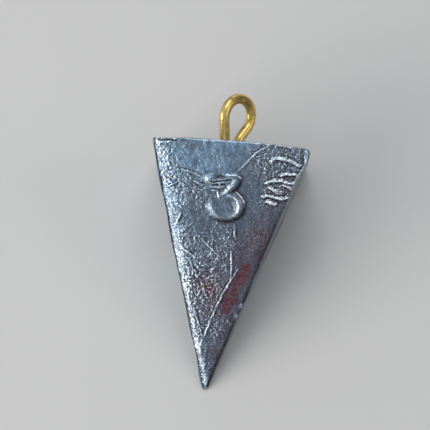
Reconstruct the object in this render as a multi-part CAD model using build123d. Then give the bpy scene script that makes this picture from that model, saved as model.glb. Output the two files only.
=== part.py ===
from build123d import *
import os
from math import atan2, cos, degrees, hypot, radians, sin, tan

# A cast pyramid fishing sinker: a four-sided lead pyramid, poured round the legs of a brass wire eye.
#
# Each piece is drawn as the sinker hangs on a line, with the sharp point of the pyramid at zero, its
# axis along +Z and the marked face towards -Y. The finished pieces are then laid on the face behind
# the mark, as the sinker rests on a table: the point towards -Y, the eye towards +Y, the mark on top.
# Lengths are millimetres and angles are degrees.

# Lead pyramid
base_side = 24.2
body_height = 38.7  # from the sharp point to the middle of the base
base_lean = 1.9  # the poured base isn't quite square with the axis
tip_width = 0.8  # the cast point is blunt
edge_round = 0.45
base_round = 0.35

# Raised weight mark, the numeral 3 with a flat top, on the front face
mark_width = 6.1
mark_height = 7.6
mark_stroke = 1.4
mark_relief = 0.5
mark_round = 0.22
mark_drop = 8.5  # from the base edge, down the face, to the middle of the mark
mark_shift = 0.2  # from the middle line of the face to the middle of the mark
mark_turn = 6.5
# Points on the middle of the stroke, as shares of half its width and half its height
bar_start_share = (-1.0, 1.0)
bar_end_share = (0.75, 1.0)
waist_share = (-0.3, 0.1)
bowl_side_share = (1.0, -0.36)
bowl_foot_share = (0.07, -1.0)
tail_share = (-0.95, -0.42)

# Brass wire eye
wire_diameter = 1.6
loop_opening = 4.1  # clear width of the loop
loop_rise = 5.45  # from the base to the middle of the loop
loop_shift = -0.67  # from the eye's own upright to the middle of the loop
loop_turn = 45.0  # the loop stands in the mould's parting plane, from corner to corner
loop_tip = 10.0  # the eye leans to the right of the mark
left_leg_lean = 23.5
right_leg_lean = 27.0
leg_gap = 0.3  # lead between the two legs
leg_depth = 9.0  # from the base to the bends of the feet
neck_inside_bend = 0.8
foot_inside_bend = 1.2
foot_length = 4.0
foot_splay = 65.0

# Shapes that are trimmed run this far past the cut
overrun = 2.0

# A fillet takes at most this much of the wall that carries it
fillet_room_share = 0.45

# Place of the rest face's middle, from the point of the pyramid towards the base
face_middle_share = 2 / 3

# Sizes that follow
half_angle = degrees(atan2(base_side / 2, body_height))
slant_height = hypot(body_height, base_side / 2)
wire_radius = wire_diameter / 2
loop_radius = loop_opening / 2 + wire_radius
leg_offset = (leg_gap + wire_diameter) / 2
lay_down = Pos(0, -slant_height * face_middle_share, 0) * Rot(half_angle - 90, 0, 0)


def make_pyramid():
    """The plain casting: four flat sides, a blunt point, a base that leans a little, soft edges."""
    lean = radians(base_lean)
    angle = radians(half_angle)
    tip_height = body_height * tip_width / base_side
    block_height = body_height + base_side * tan(lean) + overrun
    block_side = base_side * block_height / body_height + overrun
    side_round = min(edge_round, tip_width * fillet_room_share)
    poured_base = Plane(origin=(0, 0, body_height), z_dir=(-sin(lean), 0, cos(lean)))
    with BuildPart() as casting:
        Box(block_side, block_side, block_height, align=(Align.CENTER, Align.CENTER, Align.MIN))
        for quarter in range(4):
            outwards = Vector(cos(angle), 0, -sin(angle)).rotate(Axis.Z, 90 * quarter)
            split(bisect_by=Plane(origin=(0, 0, 0), z_dir=outwards), keep=Keep.BOTTOM)
        split(bisect_by=poured_base, keep=Keep.BOTTOM)
        split(bisect_by=Plane.XY.offset(tip_height), keep=Keep.TOP)
        base_edges = casting.faces().sort_by(Axis.Z)[-1].edges()
        side_edges = [edge for edge in casting.edges() if edge not in base_edges]
        fillet(side_edges, side_round)
        fillet(casting.faces().sort_by(Axis.Z)[-1].edges(), base_round)
    return casting.part


def make_weight_mark():
    """The raised numeral: a bar, a slanting stroke and a round bowl, rooted under the front face."""
    angle = radians(half_angle)
    along = slant_height - mark_drop
    face_point = (mark_shift, -along * sin(angle), along * cos(angle))
    front = Plane(origin=face_point, x_dir=(1, 0, 0), z_dir=(0, -cos(angle), -sin(angle)))
    root = Plane(front.offset(-mark_relief).location * Rot(0, 0, mark_turn))
    half_width = (mark_width - mark_stroke) / 2
    half_height = (mark_height - mark_stroke) / 2
    crown_round = min(mark_round, mark_relief * fillet_room_share, mark_stroke * fillet_room_share)

    def spot(share):
        return share[0] * half_width, share[1] * half_height

    def raise_stroke(line):
        """One stroke with a soft crown of its own, so that strokes of any size can cross."""
        with BuildPart() as stroke:
            with BuildSketch(root):
                SlotArc(line, mark_stroke)
            extrude(amount=2 * mark_relief)
            crown = stroke.faces().sort_by(Axis(front.origin, front.z_dir))[-1]
            fillet(crown.edges(), crown_round)
        return stroke.part

    bar = Line(spot(bar_start_share), spot(bar_end_share))
    slant = Line(spot(bar_end_share), spot(waist_share))
    bowl = ThreePointArc(spot(waist_share), spot(bowl_side_share), spot(bowl_foot_share))
    tail = TangentArc(spot(bowl_foot_share), spot(tail_share), tangent=bowl % 1)
    return raise_stroke(bar) + raise_stroke(slant) + raise_stroke(Wire([bowl, tail]))


def make_wire_eye():
    """One length of wire: a splayed foot, a leg, the round loop, the other leg and its foot."""
    left_lean = radians(left_leg_lean)
    right_lean = radians(right_leg_lean)
    splay = radians(foot_splay)
    # The legs leave the loop along its tangents, and turn straight down into the lead at the neck
    loop_left = (loop_shift - loop_radius * cos(left_lean), loop_rise - loop_radius * sin(left_lean))
    loop_right = (loop_shift + loop_radius * cos(right_lean), loop_rise - loop_radius * sin(right_lean))
    left_neck = (-leg_offset, loop_left[1] - (-leg_offset - loop_left[0]) / tan(left_lean))
    right_neck = (leg_offset, loop_right[1] - (loop_right[0] - leg_offset) / tan(right_lean))
    foot_reach = leg_offset + foot_length * sin(splay)
    foot_depth = leg_depth + foot_length * cos(splay)
    bends = [foot_inside_bend + wire_radius, neck_inside_bend + wire_radius]
    stance = Pos(0, 0, body_height) * Rot(0, loop_tip, 0) * Rot(0, 0, loop_turn)
    upright = Plane(stance * Plane.XZ.location)
    with BuildPart() as eye:
        with BuildLine(upright) as route:
            FilletPolyline(
                (-foot_reach, -foot_depth),
                (-leg_offset, -leg_depth),
                left_neck,
                loop_left,
                radius=bends,
            )
            CenterArc(
                (loop_shift, loop_rise),
                loop_radius,
                180 + left_leg_lean,
                -(180 + left_leg_lean + right_leg_lean),
            )
            FilletPolyline(
                loop_right,
                right_neck,
                (leg_offset, -leg_depth),
                (foot_reach, -foot_depth),
                radius=bends[::-1],
            )
        start = route.wire()
        with BuildSketch(Plane(origin=start @ 0, z_dir=start % 0)):
            Circle(wire_radius)
        sweep()
    return eye.part


def main():
    """Build both pieces, cut the wire's own tunnel into the lead, and lay them down."""
    wire_eye = make_wire_eye()
    lead_body = make_pyramid() + make_weight_mark() - wire_eye
    os.makedirs("parts", exist_ok=True)
    for name, piece in (("lead_body", lead_body), ("wire_eye", wire_eye)):
        lying = lay_down * piece
        export_step(lying, f"parts/{name}.step")
        print(name, "volume", round(lying.volume, 2), "size", lying.bounding_box().size)


main()
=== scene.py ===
# %% [markdown]
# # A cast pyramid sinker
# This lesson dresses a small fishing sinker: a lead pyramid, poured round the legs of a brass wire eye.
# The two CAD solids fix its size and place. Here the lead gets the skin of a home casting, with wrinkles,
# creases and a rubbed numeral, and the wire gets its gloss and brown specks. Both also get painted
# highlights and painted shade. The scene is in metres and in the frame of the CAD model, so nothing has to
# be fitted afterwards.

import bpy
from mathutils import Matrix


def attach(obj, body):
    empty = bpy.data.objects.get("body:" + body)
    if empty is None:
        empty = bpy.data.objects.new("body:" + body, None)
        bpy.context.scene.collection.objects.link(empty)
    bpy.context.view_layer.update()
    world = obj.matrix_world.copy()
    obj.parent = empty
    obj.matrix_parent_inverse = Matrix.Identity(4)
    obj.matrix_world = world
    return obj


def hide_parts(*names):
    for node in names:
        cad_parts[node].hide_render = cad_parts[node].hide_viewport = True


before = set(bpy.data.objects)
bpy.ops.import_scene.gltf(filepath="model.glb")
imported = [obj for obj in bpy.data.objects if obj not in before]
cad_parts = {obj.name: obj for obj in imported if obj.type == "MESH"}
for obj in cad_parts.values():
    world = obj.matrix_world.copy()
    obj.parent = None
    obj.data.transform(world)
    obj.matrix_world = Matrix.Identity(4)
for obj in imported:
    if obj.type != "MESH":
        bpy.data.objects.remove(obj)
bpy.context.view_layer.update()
print("nodes", sorted(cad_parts))

# %% [markdown]
# ## Tools and units
# Shapes are made with bmesh, Blender's mesh editor for scripts, and the skin is worked out with numpy,
# which handles all its points at once. Lengths are written in millimetres, as on a drawing, and one
# factor turns them into Blender's metres.

# %% Tools and units
from math import atan2, cos, degrees, hypot, pi, radians, sin, sqrt, tan

import bmesh
import bpy
import numpy as np
from mathutils import Matrix, Vector, noise

mm = 0.001
scene = bpy.context.scene
print("Blender", bpy.app.version_string, "counts a millimetre as", mm)

# %% [markdown]
# ## The sinker's frame
# A pyramid that lies on one side is easiest to think of in two steps. It is first drawn hanging from its
# eye, with the sharp point at zero and its axis straight up. It is then turned down on the side behind
# the mark. The marked face now looks up and towards the viewer, and three directions describe it.

# %% Sizes of the pyramid
base_side = 24.2 * mm
body_height = 38.7 * mm
base_lean = radians(1.9)
tip_width = 0.7 * mm
edge_round = 0.3 * mm
face_middle_share = 2 / 3

half_angle = atan2(base_side / 2, body_height)
slant_height = hypot(base_side / 2, body_height)
point_place = Vector((0, -slant_height * face_middle_share, 0))
lay_down = Matrix.Translation(point_place) @ Matrix.Rotation(half_angle - pi / 2, 4, "X")

face_across = Vector((1, 0, 0))
face_up = Vector((0, cos(2 * half_angle), sin(2 * half_angle)))
face_out = Vector((0, -sin(2 * half_angle), cos(2 * half_angle)))
print("half angle", round(degrees(half_angle), 2), "slant height mm", round(slant_height / mm, 2))

# %% [markdown]
# ## The camera
# The camera comes first, because the marks on the face are placed by what it sees. The photograph looks
# down steeply, a little from the right, and is rolled a little, with a long lens.

# %% Camera
picture_size = 430
camera_azimuth = radians(4.45)
camera_elevation = radians(68.58)
camera_roll = radians(2.06)
camera_distance = 403.1 * mm
camera_aim = Vector((-1.5, 1.51, 5.0)) * mm
lens_width = 36.0
lens_length = 213.8

camera_back = Vector((
    sin(camera_azimuth) * cos(camera_elevation),
    -cos(camera_azimuth) * cos(camera_elevation),
    sin(camera_elevation),
))
level_right = Vector((0, 0, 1)).cross(camera_back).normalized()
level_up = camera_back.cross(level_right)
camera_right = level_right * cos(camera_roll) + level_up * sin(camera_roll)
camera_up = camera_back.cross(camera_right)
camera_place = camera_aim + camera_back * camera_distance

camera_data = bpy.data.cameras.new("photo_camera")
camera_data.lens = lens_length
camera_data.sensor_width = lens_width
camera = bpy.data.objects.new("photo_camera", camera_data)
scene.collection.objects.link(camera)
camera_turn = Matrix((camera_right, camera_up, camera_back)).transposed().to_4x4()
camera.matrix_world = Matrix.Translation(camera_place) @ camera_turn
scene.camera = camera
print("camera place mm", [round(x / mm, 1) for x in camera_place])

# %% [markdown]
# ## From a pixel to the face
# Every wrinkle on a hand casting is an accident, so no formula gives its place. The places are read off
# as pixels, and a ray from the camera carries each one to the flat of the marked face. There it becomes
# two lengths in millimetres: across the face from its middle line, and up the face from the point.

# %% Pixel helper
pixel_slope = lens_width / lens_length / picture_size
probe_column, probe_row = 220, 215


def on_face(column, row):
    """Where a pixel falls on the marked face: millimetres across it, and up it from the sharp point."""
    across = (column - picture_size / 2) * pixel_slope
    down = (row - picture_size / 2) * pixel_slope
    ray = camera_right * across - camera_up * down - camera_back
    reach = (point_place - camera_place).dot(face_out) / ray.dot(face_out)
    spot = camera_place + ray * reach - point_place
    return spot.dot(face_across) / mm, spot.dot(face_up) / mm


pixel_width = on_face(probe_column + 1, probe_row)[0] - on_face(probe_column, probe_row)[0]
print("one pixel is", round(pixel_width, 3), "mm on the face")

# %% [markdown]
# ## The plain casting
# The mould is four flat walls that meet in a point. A cone with four segments is the same shape, so it is
# the start: it is turned to face the viewer, its base is tilted by sliding each corner along its own edge,
# every edge is bevelled, and the whole is laid on its side.

# %% Plain casting
edge_segments = 3


def new_piece(name, bm):
    """Turn a bmesh into an object of the scene."""
    mesh = bpy.data.meshes.new(name)
    bm.to_mesh(mesh)
    bm.free()
    piece = bpy.data.objects.new(name, mesh)
    scene.collection.objects.link(piece)
    return piece


def plain_casting():
    bm = bmesh.new()
    tip_height = body_height * tip_width / base_side
    bmesh.ops.create_cone(
        bm,
        cap_ends=True,
        segments=4,
        radius1=tip_width / sqrt(2),
        radius2=base_side / sqrt(2),
        depth=body_height - tip_height,
    )
    bmesh.ops.rotate(bm, verts=bm.verts, cent=(0, 0, 0), matrix=Matrix.Rotation(pi / 4, 3, "Z"))
    bmesh.ops.translate(bm, verts=bm.verts, vec=(0, 0, (body_height + tip_height) / 2))
    for corner in bm.verts:
        if corner.co.z > body_height / 2:
            corner.co /= 1 - corner.co.x * tan(base_lean) / body_height
    bmesh.ops.bevel(
        bm,
        geom=bm.edges[:],
        offset=edge_round,
        segments=edge_segments,
        profile=0.5,
        affect="EDGES",
        material=-1,
        clamp_overlap=True,
    )
    bmesh.ops.transform(bm, matrix=lay_down, verts=bm.verts)
    bmesh.ops.recalc_face_normals(bm, faces=bm.faces)
    return new_piece("cast_body", bm)


body = plain_casting()
print("plain casting faces", len(body.data.polygons))

# %% [markdown]
# ## An even skin to sculpt
# Sculpting needs small faces of one size. A voxel remesh gives them all round, and the marked face, which
# is seen closest, is divided once more. Between the two, a few passes of smoothing round the long edges
# and, more of them, the corners of the base, as handling does.

# %% Even skin
skin_step = 0.24 * mm
soft_edge_width = 0.7 * mm
soft_edge_passes = 3
soft_corner_width = 1.5 * mm
soft_corner_passes = 16
soften_factor = 0.5
front_depth = 0.8 * mm
base_corners = [(-1, -1), (1, -1), (1, 1), (-1, 1)]


def base_corner(side_x, side_y):
    """Place of one corner of the base on the lying sinker."""
    reach = body_height / (1 - side_x * base_side / 2 * tan(base_lean) / body_height)
    level_corner = Vector((side_x * base_side / 2, side_y * base_side / 2, body_height))
    return lay_down @ (level_corner * reach / body_height)


def soften(bm, points, passes):
    axes = {"use_axis_x": True, "use_axis_y": True, "use_axis_z": True}
    for _ in range(passes):
        bmesh.ops.smooth_vert(bm, verts=points, factor=soften_factor, **axes)


def even_skin(piece):
    remesh = piece.modifiers.new("even", "REMESH")
    remesh.mode = "VOXEL"
    remesh.voxel_size = skin_step
    graph = bpy.context.evaluated_depsgraph_get()
    mesh = bpy.data.meshes.new_from_object(piece.evaluated_get(graph))
    piece.modifiers.clear()
    bm = bmesh.new()
    bm.from_mesh(mesh)
    bpy.data.meshes.remove(mesh)
    for corner in [base_corner(*sides) for sides in base_corners]:
        edge = (corner - point_place).normalized()
        beside = [v for v in bm.verts if (v.co - point_place).cross(edge).length < soft_edge_width]
        soften(bm, beside, soft_edge_passes)
        soften(bm, [v for v in bm.verts if (v.co - corner).length < soft_corner_width], soft_corner_passes)
    on_front = {v for v in bm.verts if (v.co - point_place).dot(face_out) > -front_depth}
    front_edges = [e for e in bm.edges if e.verts[0] in on_front and e.verts[1] in on_front]
    bmesh.ops.subdivide_edges(bm, edges=front_edges, cuts=1, use_grid_fill=True)
    bm.to_mesh(piece.data)
    bm.free()


even_skin(body)
body.data.shade_smooth()
print("skin faces", len(body.data.polygons))

# %% [markdown]
# ## Measuring the skin
# From here on the skin is handled as whole arrays: every point at once. Each point gets its place on the
# marked face, its distance from that face's edges, its place along the sinker's axis, and two weights
# that say how much it belongs to the marked face and to the base.

# %% Points as arrays
def read_points(mesh, what):
    """Places or normals of a mesh's points, one to a row."""
    values = np.empty(len(mesh.vertices) * 3)
    mesh.vertices.foreach_get(what, values)
    return values.reshape(-1, 3)


def ease(values, low, high):
    """Smooth step from 0 at low to 1 at high."""
    share = np.clip((values - low) / (high - low), 0, 1)
    return share * share * (3 - 2 * share)


places = read_points(body.data, "co")
normals = read_points(body.data, "normal")
from_point = places - np.array(point_place)
across = from_point @ np.array(face_across) / mm
upward = from_point @ np.array(face_up) / mm
depth = -(from_point @ np.array(face_out)) / mm
edge_slope = atan2(base_side / 2, slant_height)
left_gap = (upward * tan(edge_slope) + across) * cos(edge_slope)
right_gap = (upward * tan(edge_slope) - across) * cos(edge_slope)
axis = np.array((0, cos(half_angle), sin(half_angle)))
along_axis = from_point @ axis / mm
beside_axis = from_point @ np.array((0, sin(half_angle), -cos(half_angle))) / mm
front = ease(normals @ np.array(face_out), 0.3, 0.8)
on_base = ease(normals @ axis, 0.5, 0.9)
print("points", len(places), "on the marked face", int((front > 0.5).sum()))

# %% [markdown]
# ## Molten lead in a cool mould
# Lead that meets a cool wall sets in wrinkles. A bump in the material could draw them, but a bump leaves
# the mesh flat, so they are real heights here. Noise makes them, and thin veins are the lines along which
# a noise passes through zero.

# %% Noise
def noise_layer(size, seed, stretch=1.0):
    """Noise from -1 to 1 with features of one size, in mm, drawn out along the sinker by stretch."""
    grid = places / (size * mm)
    grid[:, 1:] /= stretch
    grid += seed
    return np.array([noise.noise(point) for point in grid.tolist()])


vein_stretch = 1.3


def vein_net(size, seed, sharpness, break_share=0.7):
    """A net of thin ridges from 0 to 1, broken into lengths of a share of its size."""
    lines = (1 - np.abs(noise_layer(size, seed, vein_stretch))) ** sharpness
    return lines * ease(noise_layer(size * break_share, seed + 5), -0.05, 0.25)


print("each layer of noise covers", len(places), "points")

# %% [markdown]
# ## Rough and smooth places
# A casting isn't wrinkled alike all over. Here the left edge, the ridges at the right and the lower half
# are rough, and the top is smooth. Each rough place is a pixel, a radius in pixels and a strength, read
# from the photograph. The sides that it doesn't show get slow noise instead, and the base is smoother.

# %% Rough places
rough_floor = 0.5
base_calm = 0.45
rough_patches = [
    (162, 152, 12, 0.9), (167, 168, 14, 0.85), (172, 188, 14, 0.7), (174, 210, 14, 0.6), (180, 235, 14, 0.8),
    (188, 268, 18, 1.0), (194, 298, 18, 1.1), (199, 330, 12, 0.7), (203, 365, 10, 0.1), (284, 172, 19, 0.8),
    (228, 325, 16, 0.5), (258, 240, 12, 0.3), (276, 195, 13, 0.8), (262, 160, 12, 0.7), (292, 157, 12, 0.7),
    (270, 150, 8, 0.6), (198, 190, 14, 0.6), (215, 255, 18, 0.6), (216, 285, 16, 0.8), (228, 240, 14, 0.4),
    (257, 212, 16, 0.15),
]


def patch_sum(patches):
    """Sum of soft round patches on the marked face."""
    total = np.zeros(len(places))
    for column, row, radius, strength in patches:
        middle_across, middle_up = on_face(column, row)
        gap = np.hypot(across - middle_across, upward - middle_up) / (radius * pixel_width)
        total += strength * np.exp(-gap * gap)
    return total


rough = np.clip(rough_floor + patch_sum(rough_patches), 0.1, 2.2)
other_rough = 0.5 + 0.4 * ease(noise_layer(5.0, 31.7), -0.1, 0.4)
rough = front * rough + (1 - front) * other_rough
rough *= 1 - base_calm * on_base
print("roughness share", round(float(rough.min()), 2), "to", round(float(rough.max()), 2))

# %% [markdown]
# ## Layers of wrinkles
# Real wrinkles have many sizes at once, so the layers go from a swell of several millimetres down to a
# grain of a fifth of one. The sides that the photograph doesn't show also have long flow lines, where one
# run of lead met another. Heights and sizes are in millimetres.

# %% Wrinkles
swell_height, ripple_height, side_swell_height = 0.09, 0.05, 0.15
lump_height, grain_height, dust_height = 0.03, 0.025, 0.035
# Each net is a height, a size, a seed and a sharpness
vein_nets = [(0.05, 2.1, 41.2, 12), (0.035, 1.2, 17.5, 9), (0.025, 0.7, 9.4, 6)]
flow_nets = [(0.12, 6.0, 57.1, 18), (0.08, 3.0, 63.8, 12)]
flow_break_share = 1.5

swell = swell_height * noise_layer(6.0, 11.3) + ripple_height * noise_layer(2.2, 4.7)
swell += (1 - front) * side_swell_height * noise_layer(3.5, 88.3)
lumps = lump_height * noise_layer(0.75, 23.1, 1.2)
patchy = 0.8 + 0.7 * noise_layer(2.6, 61.7, 1.5)
grain = patchy * (grain_height * noise_layer(0.38, 7.9, 1.2) + dust_height * noise_layer(0.22, 3.3))
veins = sum(height * vein_net(*net) for height, *net in vein_nets)
flow_lines = sum(height * vein_net(*net, flow_break_share) for height, *net in flow_nets)
flow_lines = (1 - front) * (1 - 0.5 * on_base) * flow_lines
print("swell mm", round(float(swell.max()), 3), "veins mm", round(float(veins.max()), 3))

# %% [markdown]
# ## Folds like foil
# The left half of the marked face is crumpled like foil, with short straight folds and narrow facets. Noise
# that is stretched along one direction gives both. Five such layers, each turned by another angle, keep
# them from looking combed.

# %% Folds
fold_turns = [radians(turn) for turn in (-70, -35, 15, 60, 110)]
draw_out = 4
fold_size, fold_height, fold_sharpness = 0.6, 0.08, 12
facet_size, facet_height, facet_patch_size = 0.26, 0.06, 1.6


def drawn_noise(size, turn, seed):
    """Noise on the marked face, drawn out along one turn from the face's width."""
    run = across * cos(turn) + upward * sin(turn)
    side = upward * cos(turn) - across * sin(turn)
    grid = np.stack((run / (draw_out * size), side / size, np.full(len(places), seed)), axis=1)
    return np.array([noise.noise(point) for point in grid.tolist()])


def crinkles(turn, seed):
    """Short straight folds, from 0 to 1, that run at one turn."""
    lines = 1 - np.abs(drawn_noise(fold_size, turn, seed))
    return lines ** fold_sharpness * ease(noise_layer(fold_size * 2, seed), 0.0, 0.25)


def strokes(turn, seed):
    """Long facets that run at one turn, in patches."""
    return drawn_noise(facet_size, turn, seed) * ease(noise_layer(facet_patch_size, seed + 2), -0.1, 0.2)


folds = np.max([crinkles(turn, 3.7 * n + 1.3) for n, turn in enumerate(fold_turns)], axis=0)
facets = np.sum([strokes(turn, 5.3 * n + 2.1) for n, turn in enumerate(fold_turns)], axis=0)
facet_share = 0.35 + 0.65 * ease(left_gap, 3.5, 1.0)
crumple = (fold_height * folds + facet_height * facet_share * facets) * ease(across, 4.0, 0.0)
print("folds and facets mm", round(float(crumple.min()), 3), "to", round(float(crumple.max()), 3))

# %% [markdown]
# ## Lines on the face
# The numeral and the marks of casting all follow lines. A line is a few points, read from the photograph
# and joined by a smooth curve, and every point of the skin is told how far it lies from that curve. A
# little noise shakes each line, because nothing here was drawn with a ruler.

# %% Lines on the face
def smooth_line(points, steps=8):
    """A smooth curve through the points: each stretch heads the way that its neighbours point."""
    ends = [2 * points[0] - points[1]] + points + [2 * points[-1] - points[-2]]
    line = []
    for before, start, finish, after in zip(ends, ends[1:], ends[2:], ends[3:]):
        for step in range(steps):
            share = step / steps
            bend = (2 * before - 5 * start + 4 * finish - after) * share * share
            twist = (3 * start - before - 3 * finish + after) * share ** 3
            line.append((2 * start + (finish - before) * share + bend + twist) / 2)
    return line + [points[-1]]


shake_across = noise_layer(0.7, 81.2) + 0.5 * noise_layer(0.35, 84.6)
shake_upward = noise_layer(0.7, 91.7) + 0.5 * noise_layer(0.35, 95.1)
far_away = 1e3


def gap_to_line(pixels, wobble):
    """Of every point: its distance in mm from a shaky line of pixels on the face, its share along that
    line, and how far it lies above the line."""
    shaky_across = across + wobble * shake_across
    shaky_upward = upward + wobble * shake_upward
    points = [np.array(on_face(*pixel)) for pixel in pixels]
    line = smooth_line(points) if len(points) > 2 else points
    nearest = np.full(len(places), far_away)
    along = np.zeros(len(places))
    over = np.zeros(len(places))
    for number, (start, finish) in enumerate(zip(line, line[1:])):
        run = finish - start
        beside = shaky_across - start[0]
        above = shaky_upward - start[1]
        share = np.clip((beside * run[0] + above * run[1]) / (run @ run), 0, 1)
        gap = np.hypot(beside - share * run[0], above - share * run[1])
        closer = gap < nearest
        nearest[closer] = gap[closer]
        along[closer] = (number + share[closer]) / (len(line) - 1)
        over[closer] = (above - share * run[1])[closer]
    return nearest, along, over


print("lines shake by up to", round(float(np.abs(shake_across).max()), 2), "times their wobble")

# %% [markdown]
# ## The numeral
# The plain 3 tells the weight in ounces. A mark that is cut into a mould comes out as a soft bead, a height
# that falls away from its line as a cosine. The bar, the slant and the round bowl are a bead each, with
# heights and widths of their own. Where they cross, the highest counts, so they run together.

# %% Numeral
def bead(line, half_width, shares, wobble=0.04):
    """A soft bead of height 1 along a line. The shares scale its height, evenly spread along it."""
    gap, along, _ = gap_to_line(line, wobble)
    height = 0.5 + 0.5 * np.cos(pi * np.clip(gap / half_width, 0, 1))
    return height * np.interp(along, np.linspace(0, 1, len(shares)), shares)


bar_line = [(209.5, 178.5), (222, 178), (236, 178)]
slant_line = [(237, 178.5), (234, 185), (227.5, 191.5), (221, 195.5)]
bowl_line = [
    (224, 196), (231, 195), (237, 198.5), (239.8, 205), (238.5, 211.5), (233, 215.7), (225.5, 217),
    (218.5, 215), (213.7, 209.5), (211.7, 205.5),
]
bar_height, bar_half_width = 0.34, 1.1
slant_rise, slant_half_width = 0.44, 0.95
bowl_height, bowl_half_width = 0.5, 1.1
bar_shares = (1.0, 0.7, 0.7, 1.0)
slant_shares = (0.8, 1.0, 0.9, 0.4)
bowl_shares = (0.35, 0.8, 1.0, 1.0, 1.0, 0.85, 0.65, 0.6, 0.6, 0.45)
numeral = np.max([
    bar_height * bead(bar_line, bar_half_width, bar_shares),
    slant_rise * bead(slant_line, slant_half_width, slant_shares),
    bowl_height * bead(bowl_line, bowl_half_width, bowl_shares),
], axis=0)
print("numeral points", int((numeral > 0.1).sum()))

# %% [markdown]
# ## Ridges at the right
# Near the right corner the lead set in a row of ragged ridges. A bead would be too soft for them, so they
# have straight slopes. A raised lip runs down the edge beside them and a thin rim follows the base, and
# both of those are beads. Noise makes the heights of ridges and rim come and go.

# %% Ridges
def ridge(line, upper_width, lower_width, shares, wobble):
    """A ridge of height 1 along a line, with straight slopes: a long one above it and a short one below."""
    gap, along, over = gap_to_line(line, wobble)
    width = np.where(over > 0, upper_width, lower_width)
    return np.clip(1 - gap / width, 0, 1) * np.interp(along, np.linspace(0, 1, len(shares)), shares)


def highest_bead(lines, half_width, shares, wobble):
    return np.max([bead(line, half_width, shares, wobble) for line in lines], axis=0)


ridge_lines = [
    [(272, 163), (276.5, 160.6), (285, 161.5), (292, 163.3), (298, 166.7)],
    [(281, 175.8), (289, 174.7), (296, 175.6)],
    [(266.5, 183.2), (273, 182), (281, 181.5), (287, 183.4), (293, 184)],
    [(284, 186), (289, 188), (292, 191)],
    [(270.5, 188), (275, 191.5), (281, 193.5)],
    [(263.5, 197.4), (268.5, 196.6), (275, 198), (281, 199.3), (287, 198.8)],
    [(268, 202.2), (274.5, 204.5)],
]
lip_lines = [[(306.5, 153), (305.5, 160), (303.3, 168), (300.5, 176), (298, 182), (295, 187)]]
rim_lines = [[(172, 139.4), (200, 140.8), (231, 143.2), (262, 146.2), (290, 149)]]
ridge_upper_width, ridge_lower_width, ridge_wobble = 0.5, 0.23, 0.14
ridge_shares = (0.6, 1.0, 1.0, 0.7)
lip_half_width, lip_shares = 0.8, (0.6, 1.0, 1.0, 0.8)
rim_half_width, rim_shares = 0.3, (0.6, 1.0, 0.6)

ragged = 0.85 + 0.7 * noise_layer(0.9, 71.3)
ridge_widths = (ridge_upper_width, ridge_lower_width)
ridges = np.max([ridge(line, *ridge_widths, ridge_shares, ridge_wobble) for line in ridge_lines], axis=0)
ridges *= 0.3 + 0.8 * ragged
lips = highest_bead(lip_lines, lip_half_width, lip_shares, wobble=0.05)
rims = ragged * highest_bead(rim_lines, rim_half_width, rim_shares, wobble=0.2)
print("ridge points", int((ridges > 0.1).sum()), "lip points", int((lips > 0.1).sum()))

# %% [markdown]
# ## Creases, grooves and painted shade
# Creases are thin beads where the skin of the lead buckled, and some of them are faint. Grooves are beads
# turned down, such as those in the bar of the numeral. Painted shade lies beside the numeral's strokes. It
# has no height of its own and only darkens the finish later.

# %% Creases
crease_lines = [
    [(269, 149), (257, 155), (247, 163), (238, 171)],
    [(182, 169), (191, 172), (201, 176)],
    [(194, 181), (202, 185)],
    [(168, 186), (177, 182)],
    [(234.6, 224), (235, 236)],
    [(231, 251), (231.5, 265), (230.5, 279)],
    [(198, 295.5), (200.5, 288.5)],
    [(202.5, 287.5), (204.5, 291), (207, 297)],
    [(190.5, 262), (192.5, 268), (193, 274)],
    [(194.5, 269), (196.5, 277)],
    [(238, 269), (229, 284), (221, 297), (210, 322), (200, 345)],
    [(193, 306), (198, 322), (202, 336)],
    [(175, 225), (178, 219), (181, 213)],
    [(181, 248), (188, 252), (195, 257)],
    [(226, 175), (236, 175.5), (241, 178.5)],
    [(235, 191), (241, 196.5), (244.5, 203)],
    [(232.5, 182.5), (225, 189.5)],
    [(233, 185), (226, 191)],
    [(217.5, 190.5), (218, 195), (219.5, 198)],
    [(209, 182), (213, 183.2)],
    [(211, 186.5), (217, 187.5), (224, 187)],
    [(212, 190), (218, 190.5)],
    [(219.5, 182.5), (219.7, 187)],
]
faint_lines = [
    [(199, 236), (210, 247), (219, 256)],
    [(232, 231), (228, 238), (221, 242)],
    [(224, 257), (229, 254)],
]
groove_lines = [
    [(158, 141.5), (166, 141.8), (176, 142.5)],
    [(211, 181.6), (217, 181.4), (223, 180.6), (231, 179.8)],
    [(213, 185), (225, 184.5)],
    [(302, 160), (301, 166), (297, 174)],
]
# Painted shade beside the numeral: below and right of the bowl, right of the slant and along the bar's top
lee_shade_lines = [
    [(212, 217.5), (220, 220.5), (228, 221), (235, 219), (240.5, 215), (243.5, 209)],
    [(240.5, 183), (236.5, 189.5), (231, 194)],
    [(213, 176.5), (219, 176), (224, 176.5)],
]
faint_share = 0.5
fading_shares = (0.5, 1.0, 0.5)
crease_half_width, groove_half_width = 0.24, 0.28
lee_shade_half_width, lee_shade_shares = 0.55, (0.5, 1.0, 1.0, 0.6)

creases = highest_bead(crease_lines, crease_half_width, fading_shares, wobble=0.06)
faint_creases = highest_bead(faint_lines, crease_half_width, fading_shares, wobble=0.06)
creases = ragged * np.maximum(creases, faint_share * faint_creases)
grooves = highest_bead(groove_lines, groove_half_width, fading_shares, wobble=0.1)
lee_shade = highest_bead(lee_shade_lines, lee_shade_half_width, lee_shade_shares, wobble=0.05)
print("crease points", int((creases > 0.1).sum()), "groove points", int((grooves > 0.1).sum()))

# %% [markdown]
# ## Texture and marks
# Now the heights are added up, in two sums. The texture goes along each point's own normal, and the marks
# go along the normal of the face. The left margin of the face falls away towards its edge, so that it
# turns to the light, and the grain is calmer there and on the numeral, where hands rubbed it.

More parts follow.
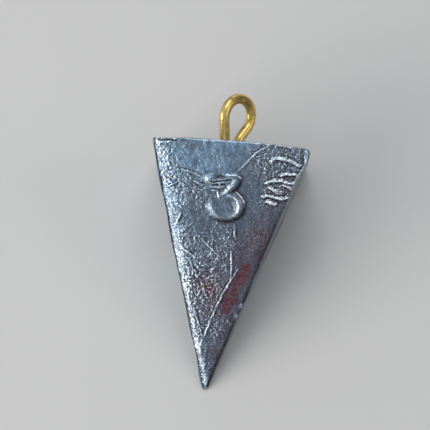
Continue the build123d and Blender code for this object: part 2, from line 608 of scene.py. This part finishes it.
# %% Texture and marks
margin_drop = 0.46
speckle_height = 0.11
speckle_patches = [(281, 172, 15, 0.8), (274, 193, 11, 0.9), (262, 157, 9, 0.6), (190, 285, 14, 0.4)]
ridge_height, lip_height, rim_height = 0.34, 0.27, 0.1
crease_height, groove_depth = 0.1, 0.14
nick_depth = 0.17
nick_patches = [(241, 306, 2.6, 1.0), (236, 317, 2.4, 0.8), (262, 263, 2.2, 0.5)]

margin_width = (0.55 + 0.75 * upward / (slant_height / mm)) * (1 + 0.5 * noise_layer(2.5, 51.3))
margin = np.exp(-(np.clip(left_gap, 0, None) / margin_width) ** 2)
calm = 1 - 0.65 * margin * front
calm *= 1 - 0.7 * np.clip(numeral / bar_height + 0.25 * ridges + lips, 0, 1) * front
speckles = front * speckle_height * patch_sum(speckle_patches) * noise_layer(0.22, 19.6)
texture = swell + calm * rough * (lumps + grain + front * crumple) + ease(rough, 0.5, 1.1) * veins
texture += flow_lines + speckles
nicks = patch_sum(nick_patches)
marks = ridge_height * ridges + lip_height * lips + rim_height * rims + crease_height * creases
marks -= groove_depth * grooves + nick_depth * nicks
print("texture mm", round(float(texture.min()), 3), "to", round(float(texture.max()), 3))

# %% [markdown]
# ## The poured base
# The mould is filled through its open base, so the base is where the lead set last. It stands a little
# proud at its front edge, it sank to a shallow dish in the middle, with slow rings round it, and it crept
# up the two legs of the wire. Beside the lip, the right edge bulges a little.

# %% Poured base
pour_across = (-12.0, -8.0, -4.0, 0.0, 3.0, 8.0, 12.0)
pour_height = (0.37, 0.38, 0.42, 0.5, 0.57, 0.42, 0.0)
pour_start = 35.0
pour_fall = 0.7
dish_depth, dish_radius = 0.35, 6.5
ring_height, ring_step, ring_reach = 0.05, 3.0, 10.0
creep_height, creep_radius = 0.45, 1.3
leg_place = 0.67
bulge_patches = [(306, 160, 7, 0.3), (303, 169, 7, 0.3)]
bulge_depth = 1.6

pour = np.interp(across, pour_across, pour_height) * ease(along_axis, pour_start, body_height / mm)
pour *= 1 - pour_fall * np.clip(depth / (base_side / mm), 0, 1)
from_axis = np.hypot(across, beside_axis)
dish = np.exp(-(from_axis / dish_radius) ** 2)
ring_phase = 2 * pi * (from_axis + noise_layer(3.0, 66.4)) / ring_step
rings = np.sin(ring_phase) * np.exp(-(from_axis / ring_reach) ** 2)
first_leg = np.hypot(across - leg_place, beside_axis - leg_place)
second_leg = np.hypot(across + leg_place, beside_axis + leg_place)
creep = np.exp(-(np.minimum(first_leg, second_leg) / creep_radius) ** 2)
base_form = creep_height * creep - dish_depth * dish + ring_height * rings
bulge = patch_sum(bulge_patches) * np.exp(-(depth / bulge_depth) ** 2)
print("pour mm", round(float(pour.max()), 2), "base form mm", round(float(base_form.min()), 2))

# %% [markdown]
# ## Moving the points
# Each sum moves the points along its own direction. Last of all, nothing may go below the floor that the
# sinker lies on.

# %% Sculpt
sculpted = places + normals * (texture * mm)[:, None]
sculpted += np.outer(front * (numeral + marks - margin_drop * margin) * mm, np.array(face_out))
sculpted += np.outer(pour * mm, axis)
sculpted += np.outer(on_base * base_form * mm, axis)
sculpted += np.outer(bulge * mm, np.array(face_across))
sculpted[:, 2] = np.maximum(sculpted[:, 2], 0)
body.data.vertices.foreach_set("co", sculpted.ravel())
body.data.update()
print("points moved by up to mm", round(float(np.abs(sculpted - places).max()) / mm, 2))

# %% [markdown]
# ## What stands proud
# Rubbing brightens what stands proud, and oxide stays in the hollows. How proud a point stands is its own
# height less the mean height round it, and that mean comes from handing each height on to the neighbours
# a few times. The same means of the plain places show how sharp an edge is, and sharp edges wear bright.

# %% Neighbour means
edge_ends = np.empty(len(body.data.edges) * 2, dtype=np.int32)
body.data.edges.foreach_get("vertices", edge_ends)
first_end, second_end = edge_ends.reshape(-1, 2).T
neighbours = np.bincount(edge_ends, minlength=len(places))
spread_rounds = 14


def spread(values):
    """Each round replaces a value by half of itself and half of the mean of its neighbours."""
    for _ in range(spread_rounds):
        total = np.bincount(first_end, values[second_end], len(places))
        total += np.bincount(second_end, values[first_end], len(places))
        values = (values + total / neighbours) / 2
    return values


smoothed_places = np.stack([spread(column) for column in places.T], axis=1)
sharpness = ((places - smoothed_places) * normals).sum(axis=1) / mm
print("sharpest edge mm", round(float(sharpness.max()), 3))

# %% [markdown]
# ## Wear and painted light
# Wear and painted light share one number for each point, from 1, bright, to -1, dark. In the relief it is
# rubbed metal and oxide, and the relief gives most of it. The rest is laid on where the photograph shows
# it: a brighter numeral, ridges and nicks, a painted highlight along the left margin, and painted shade
# beside the numeral and along the two long edges of the face.

# %% Wear and painted light
proud_unit = 0.022
grain_share, flow_share, ridge_share, numeral_share = 0.4, 0.5, 0.5, 0.25
wear_share = 0.6
numeral_shine, ridge_shine, nick_shine = 0.15, 1.1, 1.5
# Strengths of the painted shade beside the numeral, along the two long edges and at the right of the face
lee_shade_strength, left_edge_shade_strength, right_edge_shade_strength, right_shade = 1.1, 0.6, 0.75, 0.3
left_edge_shade_width, left_edge_shade_depth = 0.18, 1.2
right_edge_shade_depth = 0.5

# Painted highlight: the left margin is brightened, most near the point and least near the base
margin_highlight = 0.7 - 0.55 * ease(upward, 18, 30) + 0.3 * ease(upward, 14, 7)
relief = grain_share * (texture - flow_share * flow_lines)
smooth_marks = marks + nick_depth * nicks - ridge_share * ridge_height * ridges
relief += front * (smooth_marks + numeral_share * numeral)
wear_and_light = (relief - spread(relief)) / proud_unit
wear_and_light += wear_share * ease(sharpness, 0.02, 0.12) * (0.7 + noise_layer(1.8, 45.2))
wear_and_light += front * (numeral_shine * numeral / bowl_height + ridge_shine * ridges + nick_shine * nicks)
# Painted highlight along the left margin, less painted shade beside the numeral
wear_and_light += front * (margin_highlight * margin - lee_shade_strength * lee_shade)

# Painted shade: thin dark lines along the left and right long edges of the marked face
left_edge_shade = np.exp(-(depth / left_edge_shade_depth) ** 2 - (left_gap / left_edge_shade_width) ** 4)
right_edge_shade_width = 0.3 + 0.15 * ease(upward, 16, 6)
right_edge_shade = np.exp(-(depth / right_edge_shade_depth) ** 2 - (right_gap / right_edge_shade_width) ** 4)
right_edge_shade *= ease(upward, 30, 26) * (0.8 + 0.8 * noise_layer(2.0, 52.8))
wear_and_light -= left_edge_shade_strength * left_edge_shade + right_edge_shade_strength * right_edge_shade
# Painted shade: the marked face darkens near its right edge, from below the ridges down to the point
wear_and_light -= right_shade * front * ease(right_gap, 2.5, 0.3) * ease(upward, 32, 27)
print("rubbed points", int((wear_and_light > 0.5).sum()), "dark points", int((wear_and_light < -0.5).sum()))

# %% [markdown]
# ## Tints, painted reflections and grit
# Four more numbers tint the lead: a painted bluish reflection near the base and on the lip, a painted violet
# reflection lower down and at the right, an old red smear near the point, and grit, which says how grainy
# the finish is. They are patches too, and noise breaks them up. The sides that the photograph doesn't show
# have faint clouds of the first two, as tone.

# %% Tints
# Patches of painted bluish reflection on the marked face
blue_reflection_patches = [
    (190, 152, 28, 0.8), (228, 153, 24, 0.8), (168, 160, 14, 0.35), (208, 166, 20, 0.5), (252, 145, 12, 0.4),
    (172, 185, 14, 0.5), (178, 205, 13, 0.5), (183, 230, 12, 0.5), (190, 262, 12, 0.4), (221, 206, 8, 0.4),
    (210, 208, 5, 0.4),
]
# Patches of painted violet reflection on the marked face
violet_reflection_patches = [
    (262, 232, 16, 0.9), (276, 212, 10, 0.6), (255, 255, 16, 0.9), (240, 250, 14, 0.5), (228, 325, 14, 1.0),
    (216, 352, 10, 0.9), (222, 285, 22, 0.8), (200, 280, 16, 0.5), (205, 310, 14, 0.5), (258, 170, 12, 0.4),
    (285, 190, 16, 0.6),
]
smear_patches = [
    (246, 270, 7, 0.8), (242, 277, 8, 1.1), (239, 286, 6, 0.7), (232, 296, 7, 0.8), (229, 302, 8, 1.2),
    (224, 309, 6, 0.9), (214, 294, 11, 0.38), (205, 284, 9, 0.2), (196, 290, 14, 0.3), (252, 250, 12, 0.2),
]
grit_patches = [(281, 178, 20, 0.7), (190, 285, 20, 0.3), (264, 158, 12, 0.3)]
full_grit = 1.4

streaks = 0.8 + 0.7 * noise_layer(0.6, 13.7, 4.0)
# Painted bluish reflection on the marked face and its lip; a faint bluish tone on the other sides
cool = front * (streaks * patch_sum(blue_reflection_patches) + 0.8 * lips)
cool += (1 - front) * (0.15 + 0.3 * ease(noise_layer(6.0, 12.9), -0.2, 0.4))
# Painted violet reflection on the marked face; a faint violet tone on the other sides
violet = front * patch_sum(violet_reflection_patches)
violet += (1 - front) * 0.4 * ease(noise_layer(5.0, 77.3), -0.1, 0.5)
blotches = 0.6 * noise_layer(1.1, 27.9, 1.5) + 0.35 * noise_layer(0.45, 33.5)
smear = patch_sum(smear_patches) * (1 + 1.6 * blotches)
smear = front * (0.7 * ease(smear, 0.45, 0.75) + 0.3 * ease(smear, 0.1, 0.5))
grit = np.clip(rough / full_grit + front * patch_sum(grit_patches), 0, 1) * (1 - 0.6 * smear)
grit *= (0.7 + 0.3 * front) * (1 - 0.6 * front * np.clip(ridges, 0, 1))
print("smeared points", int((smear > 0.5).sum()), "gritty points", int((grit > 0.5).sum()))

# %% [markdown]
# ## Keeping the numbers on the mesh
# A material can't see these arrays, but it can read an attribute of the mesh, which is one number stored
# at each point. Unlike a picture it needs no unwrapping, and here the mesh is fine enough to carry it.

# %% Attributes
def keep_attribute(mesh, name, values):
    attribute = mesh.attributes.new(name, "FLOAT", "POINT")
    attribute.data.foreach_set("value", values.astype(np.float32))
    print(name, "mean", round(float(values.mean()), 3), "spread", round(float(values.std()), 3))


keep_attribute(body.data, "wear_and_light", np.clip(wear_and_light, -1, 1))
keep_attribute(body.data, "cool", np.clip(cool, 0, 1))
keep_attribute(body.data, "violet", np.clip(violet, 0, 1))
keep_attribute(body.data, "smear", smear)
keep_attribute(body.data, "grit", grit)

# %% [markdown]
# ## Building with nodes
# A material is a graph of nodes. The helpers below each add one kind of node, join it up and hand back its
# output, so that a material reads as a list of steps. All patterns use Object coordinates, which stay
# fixed to the piece.

# %% Node helpers
def new_material(name):
    material = bpy.data.materials.new(name)
    material.use_nodes = True
    tree = material.node_tree
    return material, tree, tree.nodes["Principled BSDF"]


def add_node(tree, kind, **settings):
    node = tree.nodes.new(kind)
    for key, value in settings.items():
        setattr(node, key, value)
    return node


def add_noise(tree, size, detail=4.0, roughness=0.55, kind="FBM"):
    """Noise on Object coordinates with features of one size in mm."""
    coordinates = add_node(tree, "ShaderNodeTexCoord")
    texture = add_node(tree, "ShaderNodeTexNoise", noise_type=kind)
    texture.inputs["Scale"].default_value = 1 / (size * mm)
    texture.inputs["Detail"].default_value = detail
    texture.inputs["Roughness"].default_value = roughness
    tree.links.new(coordinates.outputs["Object"], texture.inputs["Vector"])
    return texture.outputs["Fac"]


def add_attribute(tree, name):
    return add_node(tree, "ShaderNodeAttribute", attribute_name=name).outputs["Fac"]


print("node helpers made, for", len(body.data.attributes), "attributes of the body")

# %% Helpers for values and colours
def add_range(tree, value, low, high, to_low=0.0, to_high=1.0):
    """Carry a value from one range to another, and hold it there."""
    node = add_node(tree, "ShaderNodeMapRange")
    tree.links.new(value, node.inputs["Value"])
    for name, number in (("From Min", low), ("From Max", high), ("To Min", to_low), ("To Max", to_high)):
        node.inputs[name].default_value = number
    return node.outputs["Result"]


def add_math(tree, operation, first, second):
    node = add_node(tree, "ShaderNodeMath", operation=operation)
    tree.links.new(first, node.inputs[0])
    tree.links.new(second, node.inputs[1])
    return node.outputs["Value"]


def add_colour_mix(tree, share, first, second):
    """Mix of two colours, each a colour or another node's output."""
    node = add_node(tree, "ShaderNodeMix", data_type="RGBA")
    tree.links.new(share, node.inputs["Factor"])
    for name, colour in (("A", first), ("B", second)):
        socket = [s for s in node.inputs if s.name == name and s.type == "RGBA"][0]
        if isinstance(colour, tuple):
            socket.default_value = (*colour, 1)
        else:
            tree.links.new(colour, socket)
    return [s for s in node.outputs if s.type == "RGBA"][0]


def add_bump(tree, shader, height, distance):
    """Grain that is too small for the mesh, up to a distance in mm. Hands back its strength, to be set."""
    bump = add_node(tree, "ShaderNodeBump")
    bump.inputs["Distance"].default_value = distance * mm
    tree.links.new(height, bump.inputs["Height"])
    tree.links.new(bump.outputs["Normal"], shader.inputs["Normal"])
    return bump.inputs["Strength"]


print("helpers made for ranges, sums, colours and bumps")

# %% [markdown]
# ## The lead
# Old lead is a dull blue-grey metal. Where it is rubbed it shines almost white, and in its hollows it is
# dark with oxide. Colour and gloss therefore follow the wear, which also carries painted highlights and
# painted shade, so the rubbed colour is also a painted highlight and the oxide colour also painted shade.
# Specks and scratches come where there is grit, over a ground of steel grey that painted bluish and
# violet reflections tint. The smear is a stain, so it is less of a metal than the lead.

# %% Lead material
def make_lead():
    material, tree, shader = new_material("cast_lead_skin")
    steel = (0.18, 0.215, 0.26)
    # Painted reflections: bluish and violet casts on the marked face, faint tones on the other sides
    blue_tone_and_reflection = (0.36, 0.52, 0.65)
    violet_tone_and_reflection = (0.175, 0.142, 0.162)
    # Rubbed metal, and painted highlight where the wear number carries it
    rubbed_and_highlight = (0.75, 0.83, 0.87)
    blue_rubbed_highlight = (0.58, 0.75, 0.86)
    # Oxide in hollows, and painted shade where the wear number carries it
    oxide_and_shade = (0.055, 0.042, 0.045)
    red = (0.13, 0.016, 0.02)

    grit = add_attribute(tree, "grit")
    fine_grain = add_noise(tree, 0.2, detail=2.5, roughness=0.6)
    speck_strength = add_range(tree, grit, 0.0, 1.0, 0.2, 1.1)
    specks = add_math(tree, "MULTIPLY", add_range(tree, fine_grain, 0.3, 0.7, -1.0, 1.0), speck_strength)
    lines = add_noise(tree, 0.55, detail=0.0, roughness=0.5, kind="RIDGED_MULTIFRACTAL")
    breaks = add_range(tree, add_noise(tree, 0.8, detail=2.0), 0.44, 0.6)
    scratches = add_math(tree, "MULTIPLY", add_range(tree, lines, 0.78, 1.0), breaks)
    scratches = add_math(tree, "MULTIPLY", scratches, add_range(tree, grit, 0.5, 1.0))
    wear_and_light = add_math(tree, "ADD", add_attribute(tree, "wear_and_light"), specks)
    wear_and_light = add_math(tree, "ADD", wear_and_light, scratches)

    cool = add_attribute(tree, "cool")
    cloud = add_range(tree, add_noise(tree, 1.6), 0.35, 0.65, 0.4, 1.4)
    cool_share = add_math(tree, "MULTIPLY", cool, cloud)
    violet_share = add_math(tree, "MULTIPLY", add_attribute(tree, "violet"), cloud)
    colour = add_colour_mix(tree, cool_share, steel, blue_tone_and_reflection)
    colour = add_colour_mix(tree, violet_share, colour, violet_tone_and_reflection)
    # Painted bluish highlight where the bluish reflection lies
    bright = add_colour_mix(tree, cool, rubbed_and_highlight, blue_rubbed_highlight)
    colour = add_colour_mix(tree, add_range(tree, wear_and_light, 0.15, 0.95), colour, bright)
    colour = add_colour_mix(tree, add_range(tree, wear_and_light, -0.15, -0.9), colour, oxide_and_shade)

    speckle = add_range(tree, add_noise(tree, 0.45, detail=6.0, roughness=0.7), 0.39, 0.53, 0.1, 1.0)
    stain = add_math(tree, "MULTIPLY", add_attribute(tree, "smear"), speckle)
    stain = add_math(tree, "MULTIPLY", stain, add_range(tree, wear_and_light, 0.2, 1.0, 0.95, 0.25))
    colour = add_colour_mix(tree, stain, colour, red)

    tree.links.new(colour, shader.inputs["Base Color"])
    tree.links.new(add_range(tree, stain, 0.0, 1.0, 1.0, 0.4), shader.inputs["Metallic"])
    tree.links.new(add_range(tree, wear_and_light, -0.2, 0.8, 0.36, 0.2), shader.inputs["Roughness"])
    bump_strength = add_bump(tree, shader, add_math(tree, "ADD", fine_grain, scratches), distance=0.1)
    tree.links.new(add_range(tree, grit, 0.1, 0.8, 0.35, 1.0), bump_strength)
    return material


lead = make_lead()
body.data.materials.append(lead)
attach(body, "root")
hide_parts("lead_body")
print("lead nodes", len(lead.node_tree.nodes))

# %% [markdown]
# ## The wire eye
# The eye is one length of brass wire: a splayed foot that the lead grips, a leg, a round loop, and a leg
# and a foot again. Its sizes are those of the CAD wire, so that the legs leave the lead at its tunnel.

# %% Sizes of the wire
wire_radius = 0.8 * mm
loop_radius = 2.05 * mm + wire_radius
loop_rise = 5.45 * mm
loop_shift = -0.67 * mm
loop_turn = radians(45)
loop_tip = radians(10)
left_lean = radians(23.5)
right_lean = radians(27)
leg_offset = 0.15 * mm + wire_radius
leg_depth = 9 * mm
neck_bend = 0.8 * mm + wire_radius
foot_bend = 1.2 * mm + wire_radius
foot_length = 4 * mm
foot_splay = radians(65)
print("loop opening mm", round(2 * (loop_radius - wire_radius) / mm, 2))

# %% [markdown]
# ## A wire bender
# A wire is shaped by feeding it forward and bending it round a pin. The mesh could be a curve with a bevel,
# but here it is made as the wire is: a ring of points is the cut end, an extrusion feeds it, and a spin
# bends it about the pin's centre.

# %% Wire bender
ring_points = 28
wire_step = 0.25 * mm
fewest_bend_steps = 3


class WireBender:
    """Feeds and bends one ring of edges. The wire lies in the plane of X and Z."""

    def __init__(self, start, heading):
        self.bm = bmesh.new()
        self.place = Vector((start[0], 0, start[1]))
        self.heading = heading
        made = bmesh.ops.create_circle(self.bm, cap_ends=False, segments=ring_points, radius=wire_radius)
        stand = Matrix.Rotation(pi / 2 - heading, 4, "Y")
        bmesh.ops.transform(self.bm, matrix=Matrix.Translation(self.place) @ stand, verts=made["verts"])
        self.ring = self.bm.edges[:]

    def ahead(self):
        return Vector((cos(self.heading), 0, sin(self.heading)))

    def feed(self, length):
        steps = max(1, round(length / wire_step))
        for _ in range(steps):
            made = bmesh.ops.extrude_edge_only(self.bm, edges=self.ring)["geom"]
            points = [g for g in made if isinstance(g, bmesh.types.BMVert)]
            bmesh.ops.translate(self.bm, verts=points, vec=self.ahead() * (length / steps))
            moved = set(points)
            edges = [g for g in made if isinstance(g, bmesh.types.BMEdge)]
            self.ring = [e for e in edges if e.verts[0] in moved and e.verts[1] in moved]
        self.place += self.ahead() * length

    def bend(self, radius, angle):
        """Turns the heading by an angle, to the left when it is positive."""
        side = 1 if angle > 0 else -1
        to_pin = Vector((-sin(self.heading), 0, cos(self.heading))) * side
        pin = self.place + to_pin * radius
        made = bmesh.ops.spin(
            self.bm,
            geom=self.ring,
            cent=pin,
            axis=(0, -1, 0),
            angle=angle,
            steps=max(fewest_bend_steps, round(radius * abs(angle) / wire_step)),
            use_merge=False,
            use_duplicate=False,
        )
        self.ring = [g for g in made["geom_last"] if isinstance(g, bmesh.types.BMEdge)]
        self.place = pin + Matrix.Rotation(-angle, 3, "Y") @ (self.place - pin)
        self.heading += angle

    def close(self):
        open_edges = [e for e in self.bm.edges if e.is_boundary]
        bmesh.ops.holes_fill(self.bm, edges=open_edges, sides=0)
        bmesh.ops.recalc_face_normals(self.bm, faces=self.bm.faces)
        return self.bm


print("the wire has", ring_points, "points round it and a ring every", wire_step / mm, "mm")

# %% [markdown]
# ## Bending the eye
# The wire starts at the tip of the left foot. Each straight run is shorter than the corner to corner
# length, because a bend takes its share off both of its runs. The finished wire is then stood in the base,
# turned from corner to corner of the mould and tipped to the right.

# %% Bend the eye
def bend_cut(radius, angle):
    """Length that a bend takes off each of its straight runs."""
    return radius * tan(angle / 2)


def stand_in_base():
    """Turn and place that stand the bent wire in the base of the lying sinker."""
    stance = Matrix.Rotation(loop_tip, 4, "Y") @ Matrix.Rotation(loop_turn, 4, "Z")
    return lay_down @ Matrix.Translation((0, 0, body_height)) @ stance


def loop_side(lean, shift):
    """Of one leaning side of the loop: its reach from the leg, and the height of its neck."""
    rise = loop_rise - loop_radius * sin(lean)
    reach = loop_radius * cos(lean) + shift - leg_offset
    return reach, rise - reach / tan(lean)


def bend_eye():
    foot_cut = bend_cut(foot_bend, foot_splay)
    left_cut = bend_cut(neck_bend, left_lean)
    right_cut = bend_cut(neck_bend, right_lean)
    left_reach, left_neck = loop_side(left_lean, -loop_shift)
    right_reach, right_neck = loop_side(right_lean, loop_shift)
    start = (
        -leg_offset - foot_length * sin(foot_splay),
        -leg_depth - foot_length * cos(foot_splay),
    )
    wire = WireBender(start, pi / 2 - foot_splay)
    wire.feed(foot_length - foot_cut)
    wire.bend(foot_bend, foot_splay)
    wire.feed(leg_depth + left_neck - foot_cut - left_cut)
    wire.bend(neck_bend, left_lean)
    wire.feed(left_reach / sin(left_lean) - left_cut)
    wire.bend(loop_radius, -(pi + left_lean + right_lean))
    wire.feed(right_reach / sin(right_lean) - right_cut)
    wire.bend(neck_bend, right_lean)
    wire.feed(leg_depth + right_neck - foot_cut - right_cut)
    wire.bend(foot_bend, foot_splay)
    wire.feed(foot_length - foot_cut)
    bm = wire.close()
    bmesh.ops.transform(bm, matrix=stand_in_base(), verts=bm.verts)
    return new_piece("brass_eye", bm)


eye = bend_eye()
eye.data.shade_smooth()
eye_places = read_points(eye.data, "co") / mm
eye_normals = read_points(eye.data, "normal")
print("eye box mm", eye_places.min(axis=0).round(2), eye_places.max(axis=0).round(2))

# %% [markdown]
# ## Painted shade on the wire
# Painted shade darkens the inside of the loop, its sides, its crown and its upper back. On the right of the
# loop the shade of the inside and the sides fades, as a painted highlight. Each of these is a direction in
# which the surface looks, so the point normals say where the painted shade lies, and the strongest of the
# four counts.

# %% Painted shade on the wire
back_side = Vector((-0.45, 0.6, 0.65)).normalized()
crown_side = Vector((0.7, -0.3, 0.65)).normalized()
back_shade, flank_shade, inner_shade, crown_shade = 0.8, 0.85, 0.9, 0.8

loop_middle = stand_in_base() @ Vector((loop_shift, 0, loop_rise))
from_middle = eye_places - np.array(loop_middle) / mm
from_middle /= np.linalg.norm(from_middle, axis=1)[:, None]
outside = (eye_normals * from_middle).sum(axis=1)
crown = ease(from_middle @ axis, 0.5, 0.9)
# Painted highlight: on the right of the loop the shade of the inside and the sides fades
unlit_share = 0.1 + 0.9 * ease(from_middle[:, 0], 0.5, -0.3)
flanks = ease(eye_normals[:, 2], 0.85, 0.35) * (1 - 0.8 * ease(outside, 0.0, 0.5))
# Painted shade on the wire, kept as an attribute that browns the brass
wire_shade = np.max([
    back_shade * ease(eye_normals @ np.array(back_side), 0.8, 0.97),
    flank_shade * flanks * unlit_share,
    inner_shade * ease(outside, -0.1, -0.7) * unlit_share,
    crown_shade * crown * ease(eye_normals @ np.array(crown_side), 0.6, 0.95),
], axis=0)
keep_attribute(eye.data, "wire_shade", wire_shade)

# %% [markdown]
# ## The brass
# Drawn brass is yellow and glossy, a little uneven in colour, with brown specks, and with brown clouds of
# painted shade where the wire's shade attribute lies. It isn't set as wholly metallic, so that some light
# also scatters from it. A slow, shallow bump stands for the dents of the bending tools.

# %% Brass material
def make_brass():
    material, tree, shader = new_material("drawn_brass")
    bright = (0.98, 0.69, 0.22)
    dull = (0.78, 0.50, 0.14)
    brown = (0.22, 0.12, 0.03)
    colour = add_colour_mix(tree, add_range(tree, add_noise(tree, 1.2), 0.4, 0.65), bright, dull)
    specks = add_noise(tree, 0.5, detail=3.0, roughness=0.6)
    specks = add_range(tree, specks, 0.62, 0.76, 0.0, 0.75)
    cloud = add_range(tree, add_noise(tree, 0.7), 0.3, 0.55, 0.4, 1.0)
    # Painted shade from the wire's attribute, broken into clouds
    shade_clouds = add_math(tree, "MULTIPLY", add_attribute(tree, "wire_shade"), cloud)
    colour = add_colour_mix(tree, add_math(tree, "MAXIMUM", specks, shade_clouds), colour, brown)
    tree.links.new(colour, shader.inputs["Base Color"])
    shader.inputs["Metallic"].default_value = 0.7
    gloss = add_range(tree, add_noise(tree, 1.0), 0.3, 0.7, 0.2, 0.34)
    tree.links.new(gloss, shader.inputs["Roughness"])
    bump_strength = add_bump(tree, shader, add_noise(tree, 1.6, detail=2.0), distance=0.05)
    bump_strength.default_value = 0.3
    return material


brass = make_brass()
eye.data.materials.append(brass)
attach(eye, "root")
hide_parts("wire_eye")
print("brass nodes", len(brass.node_tree.nodes))

# %% [markdown]
# ## The floor
# The sinker lies on a plain pale floor, which only has to catch its shadow.

# %% Floor
floor_reach = 3.0
floor_colour = (0.68, 0.65, 0.60, 1)
floor_bm = bmesh.new()
bmesh.ops.create_grid(floor_bm, x_segments=1, y_segments=1, size=floor_reach)
floor = new_piece("floor", floor_bm)
floor_material, _, floor_shader = new_material("pale_floor")
floor_shader.inputs["Base Color"].default_value = floor_colour
floor_shader.inputs["Roughness"].default_value = 0.8
floor.data.materials.append(floor_material)
print("floor faces", len(floor.data.polygons))

# %% [markdown]
# ## The light
# Metal shows what it mirrors, so the lamps are large and soft. One at the left stands for a window and
# lights the left margin, one overhead lights the upper slopes of the ridges and of the numeral, and two
# weaker ones fill the back and the right. Their strength is a radiance, the brightness that a mirror would
# show, because that stays the same when a lamp is made larger.

# %% Light
# Each softbox is a name, a place and a size in metres, and a radiance
softboxes = [
    ("window_left", (-0.42, -0.27, 0.21), (0.5, 0.28), 4.6),
    ("overhead", (0.0, 0.2, 0.5), (0.3, 0.26), 3.0),
    ("fill_back", (-0.05, 0.6, 0.14), (0.4, 0.22), 0.65),
    ("fill_right", (0.46, -0.04, 0.36), (0.26, 0.26), 1.5),
]


def add_softbox(name, place, size, radiance):
    """An oblong lamp that faces the sinker. Its power follows from its area and its radiance."""
    lamp = bpy.data.lights.new(name, "AREA")
    lamp.shape = "RECTANGLE"
    lamp.size, lamp.size_y = size
    lamp.energy = radiance * pi * size[0] * size[1]
    holder = bpy.data.objects.new(name, lamp)
    holder.location = place
    holder.rotation_euler = (-Vector(place)).to_track_quat("-Z", "Y").to_euler()
    scene.collection.objects.link(holder)
    print(name, "watts", round(lamp.energy, 2))


for softbox in softboxes:
    add_softbox(*softbox)

# %% [markdown]
# ## The room
# Beyond the lamps, the metal mirrors a soft bluish room, which is lighter on the side of the window. The
# Standard view transform shows colours as they are written.

# %% Room
def make_room():
    window_side = (0.42, 0.48, 0.57)
    far_side = (0.17, 0.19, 0.23)
    world = bpy.data.worlds.new("room")
    world.use_nodes = True
    tree = world.node_tree
    direction = add_node(tree, "ShaderNodeTexCoord")
    parts = add_node(tree, "ShaderNodeSeparateXYZ")
    tree.links.new(direction.outputs["Generated"], parts.inputs["Vector"])
    away = add_range(tree, parts.outputs["X"], -0.4, 0.6)
    colour = add_colour_mix(tree, away, window_side, far_side)
    tree.links.new(colour, tree.nodes["Background"].inputs["Color"])
    return world


scene.world = make_room()
scene.view_settings.view_transform = "Standard"
print("view transform", scene.view_settings.view_transform)
